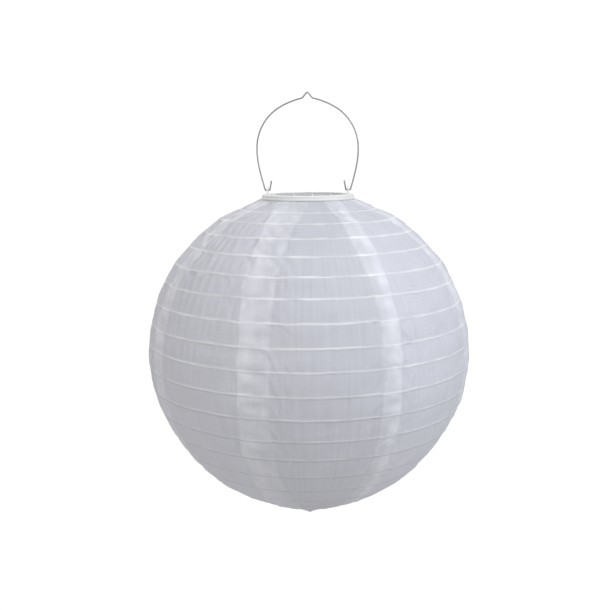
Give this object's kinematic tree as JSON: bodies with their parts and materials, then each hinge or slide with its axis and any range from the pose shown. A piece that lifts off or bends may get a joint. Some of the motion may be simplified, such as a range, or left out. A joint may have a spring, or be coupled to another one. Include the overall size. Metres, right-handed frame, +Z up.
{
  "type": "accordion lantern",
  "caption": "Round white cloth lantern with wire hoops that folds flat, a plastic collar, a solar lamp cap and a wire hanging handle.",
  "frame": {"origin": "the hanging point, under the V at the top of the wire handle", "axes": "+Z up, along the lantern's axis; the handle lies in the XZ plane"},
  "size_m": [0.2997, 0.2998, 0.4028],
  "materials": {
    "cloth": "woven nylon, semi-matt",
    "hoop_wire": "spring-steel wire",
    "handle_wire": "bare steel wire",
    "collar_plastic": "moulded white plastic, satin",
    "cap_plastic": "moulded white plastic, satin",
    "solar_glass": "dark cell under clear resin",
    "seal_rubber": "soft rubber",
    "board": "glass-fibre board",
    "led_resin": "clear resin",
    "lens_plastic": "frosted plastic",
    "cell_sleeve": "shrink sleeve",
    "contact_metal": "nickel-plated steel",
    "screw_steel": "zinc-plated steel",
    "switch_plastic": "moulded black plastic",
    "expander_wire": "spring-steel wire",
    "foot_plastic": "moulded white plastic"
  },
  "bodies": {
    "handle": {"bail": "handle_wire"},
    "collar": {"collar": "collar_plastic", "cloth_clamp_ring": "collar_plastic", "band_01": "cloth"},
    "cap": {"cap_cover": "cap_plastic", "solar_panel": "solar_glass", "cap_seal": "seal_rubber", "base_housing": "cap_plastic", "circuit_board": "board", "led": "led_resin", "led_lens": "lens_plastic", "battery_cell": "cell_sleeve", "battery_contacts": "contact_metal", "case_screws": "screw_steel", "switch_body": "switch_plastic"},
    "battery_door": {"battery_door": "cap_plastic"},
    "switch": {"switch_slider": "switch_plastic"},
    "expander": {"expander_wire": "expander_wire", "expander_foot": "foot_plastic"},
    "ring_01": {"hoop_01": "hoop_wire", "band_02": "cloth"},
    "ring_02": {"hoop_02": "hoop_wire", "band_03": "cloth"},
    "ring_03": {"hoop_03": "hoop_wire", "band_04": "cloth"},
    "ring_04": {"hoop_04": "hoop_wire", "band_05": "cloth"},
    "ring_05": {"hoop_05": "hoop_wire", "band_06": "cloth"},
    "ring_06": {"hoop_06": "hoop_wire", "band_07": "cloth"},
    "ring_07": {"hoop_07": "hoop_wire", "band_08": "cloth"},
    "ring_08": {"hoop_08": "hoop_wire", "band_09": "cloth"},
    "ring_09": {"hoop_09": "hoop_wire", "band_10": "cloth"},
    "ring_10": {"hoop_10": "hoop_wire", "band_11": "cloth"},
    "ring_11": {"hoop_11": "hoop_wire", "band_12": "cloth"},
    "ring_12": {"hoop_12": "hoop_wire", "band_13": "cloth"},
    "ring_13": {"hoop_13": "hoop_wire", "band_14": "cloth"},
    "ring_14": {"hoop_14": "hoop_wire", "band_15": "cloth"},
    "ring_15": {"hoop_15": "hoop_wire", "band_16": "cloth"},
    "ring_16": {"hoop_16": "hoop_wire", "band_17": "cloth"},
    "ring_17": {"hoop_17": "hoop_wire", "band_18": "cloth"},
    "ring_18": {"hoop_18": "hoop_wire", "band_19": "cloth"},
    "ring_19": {"hoop_19": "hoop_wire", "bottom_cloth": "cloth"}
  },
  "joints": [
    {"name": "bail_swing", "type": "hinge", "parent": "handle", "child": "collar", "pos_m": [0, 0, -0.0877], "axis": [1, 0, 0], "range_deg": [-95, 95]},
    {"name": "cap_lift", "type": "slide", "parent": "collar", "child": "cap", "axis": [0, 0, 1], "range_m": [0, 0.036]},
    {"name": "battery_door_slide", "type": "slide", "parent": "cap", "child": "battery_door", "axis": [0, 1, 0], "range_m": [0, 0.008]},
    {"name": "switch_slide", "type": "slide", "parent": "cap", "child": "switch", "axis": [1, 0, 0], "range_m": [0, 0.003]},
    {"name": "collapse", "type": "slide", "parent": "collar", "child": "expander", "axis": [0, 0, 1], "range_m": [0, 0.2436]},
    {"name": "fold_01", "type": "slide", "parent": "collar", "child": "ring_01", "axis": [0, 0, 1], "range_m": [0, 0.00581], "deforming": ["band_01"]},
    {"name": "fold_02", "type": "slide", "parent": "ring_01", "child": "ring_02", "axis": [0, 0, 1], "range_m": [0, 0.00571], "deforming": ["band_02"]},
    {"name": "fold_03", "type": "slide", "parent": "ring_02", "child": "ring_03", "axis": [0, 0, 1], "range_m": [0, 0.00901], "deforming": ["band_03"]},
    {"name": "fold_04", "type": "slide", "parent": "ring_03", "child": "ring_04", "axis": [0, 0, 1], "range_m": [0, 0.01101], "deforming": ["band_04"]},
    {"name": "fold_05", "type": "slide", "parent": "ring_04", "child": "ring_05", "axis": [0, 0, 1], "range_m": [0, 0.01281], "deforming": ["band_05"]},
    {"name": "fold_06", "type": "slide", "parent": "ring_05", "child": "ring_06", "axis": [0, 0, 1], "range_m": [0, 0.01421], "deforming": ["band_06"]},
    {"name": "fold_07", "type": "slide", "parent": "ring_06", "child": "ring_07", "axis": [0, 0, 1], "range_m": [0, 0.01641], "deforming": ["band_07"]},
    {"name": "fold_08", "type": "slide", "parent": "ring_07", "child": "ring_08", "axis": [0, 0, 1], "range_m": [0, 0.01711], "deforming": ["band_08"]},
    {"name": "fold_09", "type": "slide", "parent": "ring_08", "child": "ring_09", "axis": [0, 0, 1], "range_m": [0, 0.01661], "deforming": ["band_09"]},
    {"name": "fold_10", "type": "slide", "parent": "ring_09", "child": "ring_10", "axis": [0, 0, 1], "range_m": [0, 0.01781], "deforming": ["band_10"]},
    {"name": "fold_11", "type": "slide", "parent": "ring_10", "child": "ring_11", "axis": [0, 0, 1], "range_m": [0, 0.01761], "deforming": ["band_11"]},
    {"name": "fold_12", "type": "slide", "parent": "ring_11", "child": "ring_12", "axis": [0, 0, 1], "range_m": [0, 0.01741], "deforming": ["band_12"]},
    {"name": "fold_13", "type": "slide", "parent": "ring_12", "child": "ring_13", "axis": [0, 0, 1], "range_m": [0, 0.01611], "deforming": ["band_13"]},
    {"name": "fold_14", "type": "slide", "parent": "ring_13", "child": "ring_14", "axis": [0, 0, 1], "range_m": [0, 0.01641], "deforming": ["band_14"]},
    {"name": "fold_15", "type": "slide", "parent": "ring_14", "child": "ring_15", "axis": [0, 0, 1], "range_m": [0, 0.01481], "deforming": ["band_15"]},
    {"name": "fold_16", "type": "slide", "parent": "ring_15", "child": "ring_16", "axis": [0, 0, 1], "range_m": [0, 0.01231], "deforming": ["band_16"]},
    {"name": "fold_17", "type": "slide", "parent": "ring_16", "child": "ring_17", "axis": [0, 0, 1], "range_m": [0, 0.00951], "deforming": ["band_17"]},
    {"name": "fold_18", "type": "slide", "parent": "ring_17", "child": "ring_18", "axis": [0, 0, 1], "range_m": [0, 0.00691], "deforming": ["band_18"]},
    {"name": "fold_19", "type": "slide", "parent": "ring_18", "child": "ring_19", "axis": [0, 0, 1], "range_m": [0, 0.00621], "deforming": ["band_19"]}
  ],
  "couplings": [
    {"joint": "fold_01", "follows": "collapse", "ratio": 0.02381},
    {"joint": "fold_02", "follows": "collapse", "ratio": 0.023399},
    {"joint": "fold_03", "follows": "collapse", "ratio": 0.036946},
    {"joint": "fold_04", "follows": "collapse", "ratio": 0.045156},
    {"joint": "fold_05", "follows": "collapse", "ratio": 0.052545},
    {"joint": "fold_06", "follows": "collapse", "ratio": 0.058292},
    {"joint": "fold_07", "follows": "collapse", "ratio": 0.067323},
    {"joint": "fold_08", "follows": "collapse", "ratio": 0.070197},
    {"joint": "fold_09", "follows": "collapse", "ratio": 0.068144},
    {"joint": "fold_10", "follows": "collapse", "ratio": 0.073071},
    {"joint": "fold_11", "follows": "collapse", "ratio": 0.07225},
    {"joint": "fold_12", "follows": "collapse", "ratio": 0.071429},
    {"joint": "fold_13", "follows": "collapse", "ratio": 0.066092},
    {"joint": "fold_14", "follows": "collapse", "ratio": 0.067323},
    {"joint": "fold_15", "follows": "collapse", "ratio": 0.060755},
    {"joint": "fold_16", "follows": "collapse", "ratio": 0.050493},
    {"joint": "fold_17", "follows": "collapse", "ratio": 0.038998},
    {"joint": "fold_18", "follows": "collapse", "ratio": 0.028325},
    {"joint": "fold_19", "follows": "collapse", "ratio": 0.025452}
  ]
}
